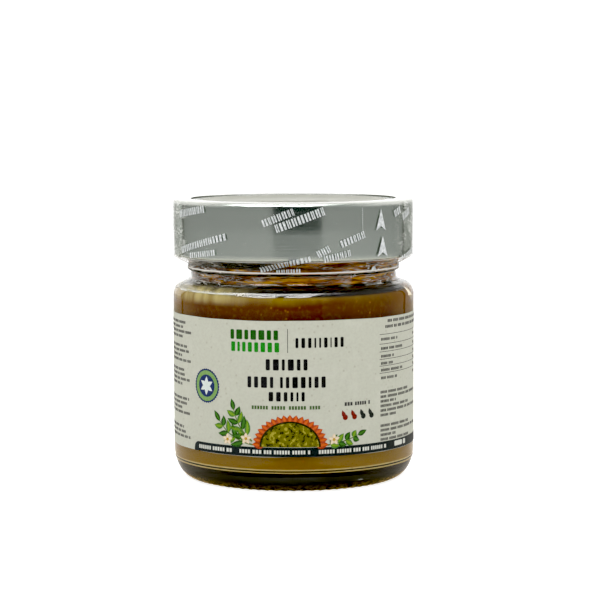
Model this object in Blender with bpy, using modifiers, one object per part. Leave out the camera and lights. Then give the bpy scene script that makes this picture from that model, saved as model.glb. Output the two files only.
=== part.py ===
"""A squat glass jar of green hot pepper sauce, with a deep twist cap, a paper label round its body and
a clear shrink band over cap and neck.

Metres, +Z up. The jar stands on z = 0 with its axis on the origin, and its front faces -Y. Every piece
is turned about Z from a profile, whose points are (radius, height) in millimetres.
"""

import math

import bmesh
import bpy
from mathutils import Vector

MM = 0.001

# Driving sizes, in millimetres.
BODY_R = 35.0
WALL = 2.8
GAP = 0.3
NECK_R = 29.45
NECK_Z = 58.6
NECK_TOP_Z = 60.1
BEAD_R = 30.35
BEAD_LOW_Z = 60.8
BEAD_TOP_Z = 62.4
FINISH_R = 31.6
FINISH_LOW_Z = 64.2
THREAD_R = 33.0
THREAD_Z = 72.0
RIM_Z = 79.75
SHOULDER_R = 3.8
FILLET_R = 1.9
HEEL_WIDTH = 6.1
HEEL_HEIGHT = 8.5
RING_WIDTH = 1.6
PUSH_UP = 2.2
FLOOR_Z = 4.6
FLOOR_DOME = 0.9
FLOOR_CORNER = 5.5
BORE_R = 27.0
SAUCE_Z = 68.0
LABEL_LOW_Z = 10.5
LABEL_TOP_Z = 48.4
LABEL_SHEET = 0.25
LABEL_RECESS = 0.5
LID_R = 34.55
LID_TOP_Z = 80.55
LID_EDGE_R = 1.0
LID_LOW_Z = 64.45
LID_SHEET = 0.3
CURL_R = 0.6
CHANNEL_R = 26.6
PANEL_DROP = 0.9
BUTTON_R = 9.5
BUTTON_RISE = 0.35
FILM_SHEET = 0.15
FILM_TOP_R = 29.8
FILM_END_DEG = 42.0

# Each turned piece has this many facets round it, all at the same angles, so nested walls keep their gap.
FACETS = 48

PANEL_R = BODY_R - LABEL_RECESS
INSIDE_R = BODY_R - WALL
SHOULDER_CENTRE = (BODY_R - SHOULDER_R, 52.9)
FILLET_CENTRE = (NECK_R + FILLET_R, NECK_Z)
LID_EDGE_CENTRE = (LID_R - LID_EDGE_R, LID_TOP_Z - LID_EDGE_R)
CURL_CENTRE = (LID_R - CURL_R, LID_LOW_Z + CURL_R)
TANGENT_DEG = 88.0


def arc(centre, radii, start_deg, end_deg, steps):
    """Points on an ellipse's arc about centre, counted from +radius, with both ends included."""
    width, height = radii if isinstance(radii, tuple) else (radii, radii)
    turns = [math.radians(start_deg + (end_deg - start_deg) * i / steps) for i in range(steps + 1)]
    return [(centre[0] + width * math.cos(t), centre[1] + height * math.sin(t)) for t in turns]


def clear_scene():
    for obj in list(bpy.data.objects):
        bpy.data.objects.remove(obj, do_unlink=True)


def new_collection(name):
    collection = bpy.data.collections.new(name)
    bpy.context.scene.collection.children.link(collection)
    return collection


def new_material(name, colour, roughness, metallic=0.0, transmission=0.0, alpha=1.0):
    material = bpy.data.materials.new(name)
    material.use_nodes = True
    shader = material.node_tree.nodes["Principled BSDF"]
    shader.inputs["Base Color"].default_value = (*colour, 1.0)
    shader.inputs["Roughness"].default_value = roughness
    shader.inputs["Metallic"].default_value = metallic
    shader.inputs["Transmission Weight"].default_value = transmission
    shader.inputs["Alpha"].default_value = alpha
    return material


def turned(name, profile, material, collection, ring=False):
    """A profile turned about Z. It runs down the piece's outer side, and a ring's profile closes on itself."""
    mesh = bpy.data.meshes.new(name)
    shape = bmesh.new()
    points = [shape.verts.new(Vector((r, 0.0, z)) * MM) for r, z in profile]
    for start, end in zip(points, points[1:]):
        shape.edges.new((start, end))
    if ring:
        shape.edges.new((points[-1], points[0]))
    shape.to_mesh(mesh)
    shape.free()

    obj = bpy.data.objects.new(name, mesh)
    collection.objects.link(obj)
    obj.data.materials.append(material)
    screw = obj.modifiers.new("Turn", "SCREW")
    screw.axis = "Z"
    screw.angle = 2.0 * math.pi
    screw.steps = FACETS
    screw.render_steps = FACETS
    screw.use_merge_vertices = True
    screw.merge_threshold = 0.01 * MM
    screw.use_smooth_shade = True
    return obj


def cavity(clear):
    """The jar's inner wall from the middle of the floor up to the bore, drawn in by clear."""
    corner_r = FLOOR_CORNER - clear
    corner = (INSIDE_R - FLOOR_CORNER, FLOOR_Z + FLOOR_CORNER)
    slope = (INSIDE_R - FLOOR_CORNER) * 0.6
    profile = [(0.0, FLOOR_Z + FLOOR_DOME + clear), (slope, FLOOR_Z + 0.25 * FLOOR_DOME + clear)]
    profile += arc(corner, corner_r, -90.0, 0.0, 3)
    shoulder = (INSIDE_R - clear, SHOULDER_CENTRE[1] - 0.8)
    neck = (BORE_R - clear, NECK_Z)
    middle = (0.5 * (shoulder[0] + neck[0]), 0.5 * (shoulder[1] + neck[1]))
    profile += [shoulder, (middle[0] + 1.3, middle[1] + 0.1), (neck[0] + 0.5, neck[1] - 0.9), neck]
    return profile


def jar_body():
    """Cavity, lip, thread and neck, shoulder, label panel, heel and pushed-up base, in one wall."""
    inside = cavity(0.0)
    lip_r = 0.5 * (FINISH_R - BORE_R)
    lip = arc((BORE_R + lip_r, RIM_Z - 0.7 * lip_r), (lip_r, 0.7 * lip_r), 180.0, 0.0, 4)
    thread = [
        (FINISH_R, THREAD_Z + 1.6),
        (THREAD_R, THREAD_Z + 0.6),
        (THREAD_R, THREAD_Z - 0.6),
        (FINISH_R, THREAD_Z - 1.6),
    ]
    neck = [
        (FINISH_R, FINISH_LOW_Z),
        (BEAD_R, BEAD_TOP_Z),
        (BEAD_R, BEAD_LOW_Z),
        (NECK_R, NECK_TOP_Z),
    ]
    fillet = arc(FILLET_CENTRE, FILLET_R, 180.0, 180.0 + TANGENT_DEG, 2)
    shoulder = arc(SHOULDER_CENTRE, SHOULDER_R, TANGENT_DEG, 0.0, 4)
    step = 2.0 * LABEL_RECESS
    panel = [
        (BODY_R, LABEL_TOP_Z + step + GAP),
        (PANEL_R, LABEL_TOP_Z + GAP),
        (PANEL_R, LABEL_LOW_Z - GAP),
        (BODY_R, LABEL_LOW_Z - 0.5 * step - GAP),
    ]
    ring_r = BODY_R - HEEL_WIDTH
    heel = arc((ring_r, HEEL_HEIGHT), (HEEL_WIDTH, HEEL_HEIGHT), 0.0, -90.0, 5)
    base = [
        (ring_r - RING_WIDTH, 0.0),
        (ring_r - 2.5 * RING_WIDTH, 0.6 * PUSH_UP),
        (0.5 * ring_r, PUSH_UP),
        (0.0, PUSH_UP),
    ]
    return inside + lip + thread + neck + fillet + shoulder + panel + heel + base


def sauce_body():
    """The sauce, from its level at the neck down the cavity's wall and across the floor."""
    level = [(0.0, SAUCE_Z), (BORE_R - GAP, SAUCE_Z)]
    return level + list(reversed(cavity(GAP)))


def lid_body():
    """One drawn sheet: button, panel, channel over the rim, rounded edge, skirt and inward curl."""
    panel_z = LID_TOP_Z - PANEL_DROP
    outside = [
        (0.0, panel_z + BUTTON_RISE),
        (BUTTON_R, panel_z + BUTTON_RISE),
        (BUTTON_R + 1.5, panel_z),
        (CHANNEL_R - 0.9, panel_z),
        (CHANNEL_R, LID_TOP_Z),
    ]
    outside += arc(LID_EDGE_CENTRE, LID_EDGE_R, 90.0, 0.0, 3)
    outside += arc(CURL_CENTRE, CURL_R, 0.0, -180.0, 4)
    inner_r = LID_R - LID_SHEET
    inside = [(LID_R - 2.0 * CURL_R, CURL_CENTRE[1] + 0.4), (inner_r, CURL_CENTRE[1] + 1.4)]
    inside += arc(LID_EDGE_CENTRE, LID_EDGE_R - LID_SHEET, 0.0, 90.0, 3)
    inside += [
        (CHANNEL_R + 0.25, LID_TOP_Z - LID_SHEET),
        (CHANNEL_R - 0.65, panel_z - LID_SHEET),
        (BUTTON_R + 1.4, panel_z - LID_SHEET),
        (BUTTON_R - 0.1, panel_z + BUTTON_RISE - LID_SHEET),
        (0.0, panel_z + BUTTON_RISE - LID_SHEET),
    ]
    return outside + inside


def film_side(clear):
    """One side of the band, this far off cap and glass: cap top, skirt, tucked under to neck, shoulder."""
    side = [(FILM_TOP_R, LID_TOP_Z + clear)]
    side += arc(LID_EDGE_CENTRE, LID_EDGE_R + clear, 90.0, 0.0, 3)
    side += arc(CURL_CENTRE, CURL_R + clear, 0.0, -70.0, 2)
    side += [
        (BEAD_R + clear, BEAD_TOP_Z - 0.1),
        (BEAD_R + clear, BEAD_LOW_Z + 0.1),
        (NECK_R + clear, NECK_TOP_Z - 0.1),
    ]
    side += arc(FILLET_CENTRE, FILLET_R - clear, 180.0, 180.0 + TANGENT_DEG, 2)
    side += arc(SHOULDER_CENTRE, SHOULDER_R + clear, TANGENT_DEG, FILM_END_DEG, 2)
    return side


def band_body():
    """The shrink band's sheet, with its outer side first."""
    return film_side(GAP + FILM_SHEET) + list(reversed(film_side(GAP)))


def label_body():
    """The paper sleeve, which lies in the jar's label panel."""
    inner_r = PANEL_R + GAP
    outer_r = inner_r + LABEL_SHEET
    return [
        (outer_r, LABEL_TOP_Z),
        (outer_r, LABEL_LOW_Z),
        (inner_r, LABEL_LOW_Z),
        (inner_r, LABEL_TOP_Z),
    ]


def build():
    clear_scene()
    parts = new_collection("pepper_sauce_jar")

    glass = new_material("clear_glass", (0.86, 0.88, 0.84), 0.04, transmission=1.0)
    sauce = new_material("green_pepper_sauce", (0.25, 0.17, 0.015), 0.35)
    steel = new_material("silver_tinplate", (0.55, 0.56, 0.55), 0.28, metallic=1.0)
    paper = new_material("grey_paper", (0.66, 0.65, 0.58), 0.62)
    film = new_material("clear_film", (0.9, 0.9, 0.9), 0.15, alpha=0.3)

    turned("glass_jar", jar_body(), glass, parts)
    turned("sauce", sauce_body(), sauce, parts)
    turned("lid", lid_body(), steel, parts)
    turned("label", label_body(), paper, parts, ring=True)
    turned("seal_band", band_body(), film, parts, ring=True)


build()
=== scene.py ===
"""The looks of a squat glass jar of green hot pepper sauce, with its twist cap, label and shrink band."""

import math

import bpy
import numpy as np
from mathutils import Matrix


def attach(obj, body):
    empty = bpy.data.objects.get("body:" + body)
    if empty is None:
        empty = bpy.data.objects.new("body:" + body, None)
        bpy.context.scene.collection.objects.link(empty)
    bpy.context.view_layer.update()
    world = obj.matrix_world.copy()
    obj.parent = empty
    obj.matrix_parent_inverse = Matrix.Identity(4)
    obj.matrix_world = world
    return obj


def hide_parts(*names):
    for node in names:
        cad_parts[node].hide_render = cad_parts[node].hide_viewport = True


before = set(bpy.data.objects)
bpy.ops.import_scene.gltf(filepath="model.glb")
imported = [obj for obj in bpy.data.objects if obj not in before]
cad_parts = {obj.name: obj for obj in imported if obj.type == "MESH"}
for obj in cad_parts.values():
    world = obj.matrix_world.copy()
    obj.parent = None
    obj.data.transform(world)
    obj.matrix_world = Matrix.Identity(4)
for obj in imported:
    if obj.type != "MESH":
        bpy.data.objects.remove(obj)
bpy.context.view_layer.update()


# Camera. The jar was taken from a little above its lid through a long lens, from about nine jar
# widths away, so its sides stay almost upright and only a sliver of the lid's top shows.
MM = 0.001
CAMERA_AWAY = 620 * MM
CAMERA_HEIGHT = 108 * MM
CAMERA_RIGHT = 1.88 * MM
AIM_HEIGHT = 51 * MM
LENS_MM = 128.4
ROLL_DEG = 0.2

lens = bpy.data.cameras.new("camera")
lens.lens = LENS_MM
lens.sensor_width = 36
lens.clip_start = 0.01
camera = bpy.data.objects.new("camera", lens)
bpy.context.scene.collection.objects.link(camera)
look_down = math.atan2(CAMERA_HEIGHT - AIM_HEIGHT, CAMERA_AWAY)
camera.location = (CAMERA_RIGHT, -CAMERA_AWAY, CAMERA_HEIGHT)
tilt = Matrix.Rotation(math.radians(90) - look_down, 3, "X")
camera.rotation_euler = (tilt @ Matrix.Rotation(-math.radians(ROLL_DEG), 3, "Z")).to_euler()
bpy.context.scene.camera = camera


# Studio. A white sweep stands behind the jar, between black edge flags that draw the dark lines down
# glass and cap. A large soft light hangs overhead, and the room in front is grey, with a dark card and a
# black post beside it. Mirrors and glass see a dark floor, and matt surfaces an even white fill.
class Wire:
    """An output socket of a node tree. Sums, products and powers of wires add Math nodes."""

    def __init__(self, tree, socket=None):
        self.tree = tree
        self.socket = socket

    def node(self, kind, settings=None, values=None, out=0):
        """Any other node: its settings come first, then the values or wires of its input sockets."""
        made = self.tree.nodes.new("ShaderNode" + kind)
        for name, value in (settings or {}).items():
            setattr(made, name, value)
        for name, value in (values or {}).items():
            self.feed(made.inputs[name], value)
        return Wire(self.tree, made.outputs[out])

    def feed(self, socket, value):
        if isinstance(value, Wire):
            self.tree.links.new(value.socket, socket)
        elif hasattr(socket.default_value, "__len__") and len(socket.default_value) == 4:
            socket.default_value = (*value, 1.0)
        else:
            socket.default_value = value

    def math(self, operation, *others, clamp=False):
        values = dict(enumerate((self, *others)))
        return self.node("Math", {"operation": operation, "use_clamp": clamp}, values)

    def __add__(self, other):
        return self.math("ADD", other)

    __radd__ = __add__

    def __sub__(self, other):
        return self.math("SUBTRACT", other)

    def __rsub__(self, other):
        return (self * -1.0) + other

    def __mul__(self, other):
        return self.math("MULTIPLY", other)

    __rmul__ = __mul__

    def __pow__(self, other):
        return self.math("POWER", other)

    def __abs__(self):
        return self.math("ABSOLUTE")

    def clamped(self):
        return self.math("ADD", 0.0, clamp=True)

    def rise(self, low, high):
        """0 below low and 1 above high, with a smooth step between. A low above high falls instead."""
        values = {"Value": self, "From Min": low, "From Max": high}
        return self.node("MapRange", {"interpolation_type": "SMOOTHSTEP"}, values)

    def between(self, low, high, soft):
        """1 from low to high, fading to 0 over soft on both sides."""
        return self.rise(low - soft, low + soft) * self.rise(high + soft, high - soft)

    def mix(self, first, second):
        """The first colour where this is 0 and the second where it is 1."""
        return self.node("Mix", {"data_type": "RGBA"}, {0: self, 6: first, 7: second}, out=2)

    def split(self):
        """The three numbers of a vector."""
        made = self.node("SeparateXYZ", None, {0: self})
        return [Wire(self.tree, made.socket.node.outputs[i]) for i in range(3)]


def grey(light):
    """A neutral colour of this strength."""
    return (light, light, light)


DEGREES = 180.0 / math.pi
SWEEP_HALF_DEG = 45.0
FLAG_DEG = 4.5
FLAG_COLOUR = grey(0.01)
SWEEP_LIGHT = grey(1.0)
HORIZON_LIGHT = grey(1.25)
LOW_SWEEP_LIGHT = grey(0.75)
RIGHT_SWEEP_LIGHT = grey(0.6)
SWEEP_FOOT_COLOUR = (0.5, 0.46, 0.34)
LOW_LIGHT = grey(0.66)
ROOM_LIGHT = grey(0.38)
ROOM_HIGH_LIGHT = grey(0.5)
CEILING_LIGHT = grey(3.0)
OVERHEAD_LIGHT = grey(12.0)
OVERHEAD_EAST = (-0.9, 0.3)
OVERHEAD_NORTH = (-1.05, 0.1)
CARD_COLOUR = (0.02, 0.035, 0.045)
CARD_FROM_DEG, CARD_TO_DEG = -19.0, 27.0
POST_COLOUR = (0.004, 0.004, 0.005)
POST_DEG = 9.0
FILL_LIGHT = 1.12
FILL_CEILING_LIGHT = 2.2
BEHIND_GLASS = 0.8
SEEN_LIGHT = grey(1.3)

world = bpy.data.worlds.new("studio")
world.use_nodes = True
world.cycles.sampling_method = "NONE"
bpy.context.scene.world = world
sky = Wire(world.node_tree)
east, north, up = sky.node("TexCoord", out="Generated").split()
turn_back = east.math("ARCTAN2", north) * DEGREES
turn_front = east.math("ARCTAN2", north * -1.0) * DEGREES
height = up.math("ARCSINE") * DEGREES

beside = abs(turn_back)
sweep = beside.rise(SWEEP_HALF_DEG + 1.0, SWEEP_HALF_DEG - 1.0) * height.rise(75.0, 60.0)
flags = beside.between(SWEEP_HALF_DEG + 1.0, SWEEP_HALF_DEG + FLAG_DEG, 1.0) * height.rise(40.0, 25.0)
card = turn_front.between(CARD_FROM_DEG, CARD_TO_DEG, 1.5)
card = card * height.rise(-6.05, -4.05) * height.rise(26.0, 10.0)
post = turn_front.between(CARD_FROM_DEG, CARD_FROM_DEG + POST_DEG, 1.5) * height.between(8.0, 76.0, 2.0)
ceiling = height.rise(60.0, 68.0)
above = up.math("MAXIMUM", 0.05)
overhead = east.math("DIVIDE", above).between(*OVERHEAD_EAST, 0.05)
overhead = overhead * north.math("DIVIDE", above).between(*OVERHEAD_NORTH, 0.05)

room = height.rise(-12.0, -2.0).mix(LOW_LIGHT, ROOM_LIGHT)
room = height.rise(0.0, 35.0).mix(room, ROOM_HIGH_LIGHT)
room = flags.mix(room, FLAG_COLOUR)
backdrop = height.rise(8.0, 25.0).mix(HORIZON_LIGHT, SWEEP_LIGHT)
backdrop = height.rise(-1.0, -3.0).mix(backdrop, LOW_SWEEP_LIGHT)
backdrop = turn_back.rise(24.0, 32.0).mix(backdrop, RIGHT_SWEEP_LIGHT)
room = sweep.mix(room, height.rise(-4.6, -6.2).mix(backdrop, SWEEP_FOOT_COLOUR))
room = ceiling.mix(room, CEILING_LIGHT)
room = overhead.mix(room, OVERHEAD_LIGHT)
room = card.mix(room, CARD_COLOUR)
room = post.mix(room, POST_COLOUR)

# The fill is up to twice as strong behind glass, which makes up for what the glass holds back.
fill = ceiling.mix(grey(FILL_LIGHT), grey(FILL_CEILING_LIGHT))
through = sky.node("LightPath", out="Transmission Depth").clamped() * BEHIND_GLASS
fill = through.mix(fill, ceiling.mix(grey(2.0 * FILL_LIGHT), grey(2.0 * FILL_CEILING_LIGHT)))
seen = sky.node("LightPath", out="Is Camera Ray")
scattered = sky.node("LightPath", out="Diffuse Depth").clamped()
room = seen.mix(scattered.mix(room, fill), SEEN_LIGHT)
sky.feed(world.node_tree.nodes["Background"].inputs["Color"], room)

# The floor is white to the camera. Glass and metal see it dark under the jar and lighter beside it, with
# a painted amber glow on it, as of light the sauce throws through the jar's ring.
FLOOR_R = 0.42
FLOOR_DARK = (0.10, 0.10, 0.13)
FLOOR_BESIDE = (0.72, 0.67, 0.61)
FLOOR_SCATTERS = grey(0.6)
FLOOR_SEEN = grey(0.5)
FLOOR_SEEN_LIGHT = grey(0.85)
PAINTED_RING_GLOW = (0.8, 0.52, 0.12)
floor_turns = np.linspace(0.0, 2.0 * math.pi, 128, endpoint=False)
floor_rim = np.stack([np.cos(floor_turns), np.sin(floor_turns), 0.0 * floor_turns], axis=1) * FLOOR_R
floor_mesh = bpy.data.meshes.new("floor")
floor_mesh.from_pydata(floor_rim.tolist(), [], [tuple(range(len(floor_rim)))])
floor = bpy.data.objects.new("floor", floor_mesh)
bpy.context.scene.collection.objects.link(floor)
floor_paint = bpy.data.materials.new("floor_white")
floor_paint.use_nodes = True
floor_shader = floor_paint.node_tree.nodes["Principled BSDF"]
floor_shader.inputs["Roughness"].default_value = 0.6
floor_shader.inputs["Specular IOR Level"].default_value = 0.1
ground = Wire(floor_paint.node_tree)
seen = ground.node("LightPath", out="Is Camera Ray")
place = ground.node("TexCoord", out="Object")
sideways, ahead, _ = place.split()
from_axis = (sideways * sideways + ahead * ahead) ** 0.5
mirrored = abs(sideways).rise(0.014, 0.036).mix(FLOOR_DARK, FLOOR_BESIDE)
lit = ground.node("LightPath", out="Diffuse Depth").clamped().mix(mirrored, FLOOR_SCATTERS)
ground.feed(floor_shader.inputs["Base Color"], seen.mix(lit, FLOOR_SEEN))
speckle = ground.node("TexNoise", None, {"Vector": place, "Scale": 900.0})
under_ring = from_axis.between(0.029, 0.033, 0.0008) * speckle.rise(0.42, 0.6)
glow = under_ring.mix(grey(0.0), PAINTED_RING_GLOW)
ground.feed(floor_shader.inputs["Emission Color"], seen.mix(glow, FLOOR_SEEN_LIGHT))
floor_shader.inputs["Emission Strength"].default_value = 1.0
floor_mesh.materials.append(floor_paint)

scene = bpy.context.scene
scene.view_settings.view_transform = "Standard"
scene.view_settings.use_curve_mapping = True
scene.view_settings.curve_mapping.black_level = (0.024, 0.024, 0.033)
scene.cycles.max_bounces = 16
scene.cycles.transmission_bounces = 14
scene.cycles.transparent_max_bounces = 24
scene.cycles.glossy_bounces = 8
scene.cycles.sample_clamp_indirect = 4.0


# Glass jar. Clear moulded glass with a thick heel, a stippled bearing ring round a pushed-up base, a
# soft shoulder and a waisted neck with one bead. Moulding leaves faint waves on its faces.
def arc(centre, radii, start_deg, end_deg, steps):
    """Points (radius, height) on an ellipse's arc about centre, counted from +radius."""
    turns = np.radians(np.linspace(start_deg, end_deg, steps + 1))
    return np.stack([centre[0] + radii[0] * np.cos(turns), centre[1] + radii[1] * np.sin(turns)], axis=1)


NEARLY_STRAIGHT = 1.56


def rounded(corners, steps=8):
    """A path of straight runs whose corners (radius, height, fillet) are rounded by their own fillet.

    A fillet touches both runs at its radius over the tangent of half the angle between them. A corner
    without a fillet, or one that is nearly straight, stays a point.
    """
    path = [np.array([corners[0][:2]], float)]
    for before, corner, after in zip(corners, corners[1:], corners[2:]):
        point = np.array(corner[:2], float)
        into = np.array(before[:2], float) - point
        away = np.array(after[:2], float) - point
        into, away = into / np.linalg.norm(into), away / np.linalg.norm(away)
        half = 0.5 * math.acos(np.clip(into @ away, -1.0, 1.0))
        if corner[2] <= 0.0 or half > NEARLY_STRAIGHT:
            path.append(point[None])
            continue
        middle = point + (into + away) / np.linalg.norm(into + away) * corner[2] / math.sin(half)
        reach = corner[2] / math.tan(half)
        first, last = point + into * reach - middle, point + away * reach - middle
        swing = np.linspace(0.0, 1.0, steps + 1)[:, None]
        whole = math.pi - 2.0 * half
        bow = (np.sin((1.0 - swing) * whole) * first + np.sin(swing * whole) * last) / math.sin(whole)
        path.append(middle + bow)
    path.append(np.array([corners[-1][:2]], float))
    return np.concatenate(path)


def finer(path, step):
    """The same path with points no further apart than step, added along its straight runs."""
    made = [path[:1]]
    for start, end in zip(path, path[1:]):
        count = math.ceil(np.linalg.norm(end - start) / step)
        share = np.linspace(0.0, 1.0, count + 1)[1:, None]
        made.append(start + (end - start) * share)
    return np.concatenate(made)


def around_axis(path, columns):
    """The path (radius, height) turned about the upright axis, as a grid of rows by columns."""
    turns = np.linspace(0.0, 2.0 * math.pi, columns, endpoint=False)[None, :]
    radius, level = path[:, :1] + 0.0 * turns, path[:, 1:] + 0.0 * turns
    return np.stack([radius * np.sin(turns), -radius * np.cos(turns), level], axis=-1)


def push(points, amount):
    """Points moved away from the upright axis by amount millimetres."""
    outward = points[..., :2] / np.maximum(np.linalg.norm(points[..., :2], axis=-1, keepdims=True), 1e-6)
    return np.concatenate([points[..., :2] + outward * amount[..., None], points[..., 2:]], axis=-1)


def waves(points, length, count, seed):
    """Sum of count sine waves in random directions, each about length long, scaled to about -1 to 1."""
    draw = np.random.default_rng(seed)
    heading = draw.normal(size=(count, 3))
    heading /= np.linalg.norm(heading, axis=1, keepdims=True)
    pitch = 2.0 * math.pi / (length * draw.uniform(0.7, 1.4, count))
    start = draw.uniform(0.0, 2.0 * math.pi, count)
    total = np.zeros(points.shape[:-1])
    for way, rate, phase in zip(heading, pitch, start):
        total += np.sin(points @ way * rate + phase)
    return total / math.sqrt(count)


def quads(index):
    """The faces between the neighbours of a grid of vertex numbers."""
    corners = [index[:-1, :-1], index[1:, :-1], index[1:, 1:], index[:-1, 1:]]
    return np.stack(corners, axis=-1).reshape(-1, 4)


def new_piece(name, points, faces):
    """A smooth mesh through points in millimetres."""
    mesh = bpy.data.meshes.new(name)
    mesh.from_pydata((points.reshape(-1, 3) * MM).tolist(), [], faces)
    mesh.shade_smooth()
    piece = bpy.data.objects.new(name, mesh)
    bpy.context.scene.collection.objects.link(piece)
    return piece


def turned(name, grid, poles=None):
    """A grid whose columns go round the axis; poles are the heights of its two ends on the axis."""
    rows, columns = grid.shape[:2]
    index = np.arange(rows * columns).reshape(rows, columns)
    index = np.concatenate([index, index[:, :1]], axis=1)
    faces = quads(index).tolist()
    points = grid.reshape(-1, 3)
    if poles:
        top = rows * columns
        points = np.concatenate([points, [(0.0, 0.0, poles[0]), (0.0, 0.0, poles[1])]])
        faces += [(top, a, b) for a, b in zip(index[0], index[0, 1:])]
        faces += [(top + 1, b, a) for a, b in zip(index[-1], index[-1, 1:])]
    return new_piece(name, points, faces)


def finish(piece, node, material):
    """The piece rides on the jar, stands for a CAD node or none, and takes its material."""
    piece.data.materials.append(material)
    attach(piece, "root")
    if node:
        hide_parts(node)
    return piece


def new_material(name, colour, roughness):
    """A material's start: its first wire and its Principled shader, with colour and roughness set."""
    material = bpy.data.materials.new(name)
    material.use_nodes = True
    wire = Wire(material.node_tree)
    shader = material.node_tree.nodes["Principled BSDF"]
    shader.inputs["Base Color"].default_value = (*colour, 1.0)
    shader.inputs["Roughness"].default_value = roughness
    return material, wire, shader


GLASS_R = 34.85
GLASS_WALL = 2.6
INSIDE_R = GLASS_R - GLASS_WALL
BORE_R = 27.0
NECK_R, NECK_TOP_Z = 29.45, 60.1
BEAD_R, BEAD_LOW_Z, BEAD_TOP_Z = 30.4, 60.75, 62.6
FINISH_R, FINISH_LOW_Z = 31.6, 64.2
THREAD_R, THREAD_Z = 33.0, 72.0
RIM_Z = 79.75
HEEL_WIDTH, HEEL_HEIGHT = 5.9, 8.5
RING_R = GLASS_R - HEEL_WIDTH
STIPPLES, STIPPLE_HEIGHT = 75, 0.22
GLASS_COLUMNS = 300
CLEAR = (0.98, 0.98, 0.935)
CLEAR_EDGE = (0.965, 0.95, 0.80)
SHOULDER_Z = 56.6
CAVITY_FLOOR_Z = 5.5
FLOOR_DISH_R, FLOOR_DISH_Z = 20.0, 5.1
PUSH_UP_Z = 2.2
MOULD_RIDGE, MOULD_RIDGE_Z = 0.14, 6.2
MOULD_WAVE, MOULD_WAVE_LENGTH = 0.035, 14.0

cavity_wall = [
    (0.5, CAVITY_FLOOR_Z, 0.0),
    (FLOOR_DISH_R, FLOOR_DISH_Z, 20.0),
    (INSIDE_R, 4.5, 5.5),
    (INSIDE_R, 55.6, 4.2),
    (BORE_R, 58.6, 3.0),
]
glass_wall = cavity_wall + [
    (BORE_R, RIM_Z, 1.9),
    (FINISH_R, RIM_Z, 1.9),
    (FINISH_R, THREAD_Z + 1.6, 0.4),
    (THREAD_R, THREAD_Z + 0.6, 0.5),
    (THREAD_R, THREAD_Z - 0.6, 0.5),
    (FINISH_R, THREAD_Z - 1.6, 0.4),
    (FINISH_R, FINISH_LOW_Z, 0.9),
    (BEAD_R, BEAD_TOP_Z, 0.6),
    (BEAD_R, BEAD_LOW_Z, 0.5),
    (NECK_R, NECK_TOP_Z, 0.4),
    (NECK_R, SHOULDER_Z + 0.35, 1.9),
    (GLASS_R, SHOULDER_Z, 3.6),
    (GLASS_R, 30.0, 0.0),
]
heel = arc((RING_R, HEEL_HEIGHT), (HEEL_WIDTH, HEEL_HEIGHT), 0.0, -90.0, 80)
heel[:, 0] += MOULD_RIDGE * np.exp(-(((heel[:, 1] - MOULD_RIDGE_Z) / 0.22) ** 2))
under = rounded([
    (RING_R, 0.0, 0.0),
    (27.3, 0.0, 0.5),
    (24.9, 1.3, 1.5),
    (18.0, 2.1, 12.0),
    (0.5, PUSH_UP_Z, 0.0),
])
glass_path = finer(np.concatenate([rounded(glass_wall), heel, under[1:]]), 2.4)

glass_grid = around_axis(glass_path, GLASS_COLUMNS)
glass_turns = np.linspace(0.0, 2.0 * math.pi, GLASS_COLUMNS, endpoint=False)
near_ring = np.exp(-(((glass_path[:, 0] - RING_R - 0.5) / 1.1) ** 2)) * (glass_path[:, 1] < 2.0)
stipple = np.abs(np.sin(0.5 * STIPPLES * glass_turns))
glass_grid[..., 2] += STIPPLE_HEIGHT * near_ring[:, None] * stipple
mould_waves = MOULD_WAVE * waves(glass_grid, MOULD_WAVE_LENGTH, 12, 3)
glass_grid = push(glass_grid, mould_waves * (glass_path[:, 1:] > 3.0))
glass_jar = turned("jar_glass", glass_grid, poles=(CAVITY_FLOOR_Z, PUSH_UP_Z))

glass_finish, wire, shader = new_material("clear_glass", CLEAR, 0.0)
shader.inputs["Transmission Weight"].default_value = 1.0
shader.inputs["IOR"].default_value = 1.52
place = wire.node("TexCoord", out="Object")
sideways = abs(place.split()[0]) * 1000.0
# Towards the left and right sides the glass is tinted amber: painted sauce-coloured light at its edges.
wire.feed(shader.inputs["Base Color"], sideways.rise(30.5, 33.5).mix(CLEAR, CLEAR_EDGE))
ripple = wire.node("TexNoise", None, {"Vector": place, "Scale": 120.0, "Detail": 2.0})
bump = wire.node("Bump", None, {"Strength": 0.12, "Distance": 0.0004, "Height": ripple})
wire.feed(shader.inputs["Normal"], bump)
finish(glass_jar, "glass_jar", glass_finish)


# Sauce. A thick puree of green hot peppers, its light and shade painted into its colour: olive where
# light comes through it, red-brown where the label shades it, amber in the thin neck. It fills the jar
# and reaches just into the wall.
INTO_WALL = 0.05
SAUCE_Z = 68.0
SAUCE_COLUMNS = 200
sauce_wall = [(0.5, SAUCE_Z, 0.0), (BORE_R + INTO_WALL, SAUCE_Z, 0.3)]
sauce_wall += [(r + INTO_WALL, z, f) for r, z, f in reversed(cavity_wall[2:])]
sauce_wall += [(FLOOR_DISH_R, FLOOR_DISH_Z - INTO_WALL, 20.0), (0.5, CAVITY_FLOOR_Z - INTO_WALL, 0.0)]
sauce_grid = around_axis(finer(rounded(sauce_wall), 2.0), SAUCE_COLUMNS)
sauce = turned("sauce_fill", sauce_grid, poles=(SAUCE_Z, CAVITY_FLOOR_Z - INTO_WALL))

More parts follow.
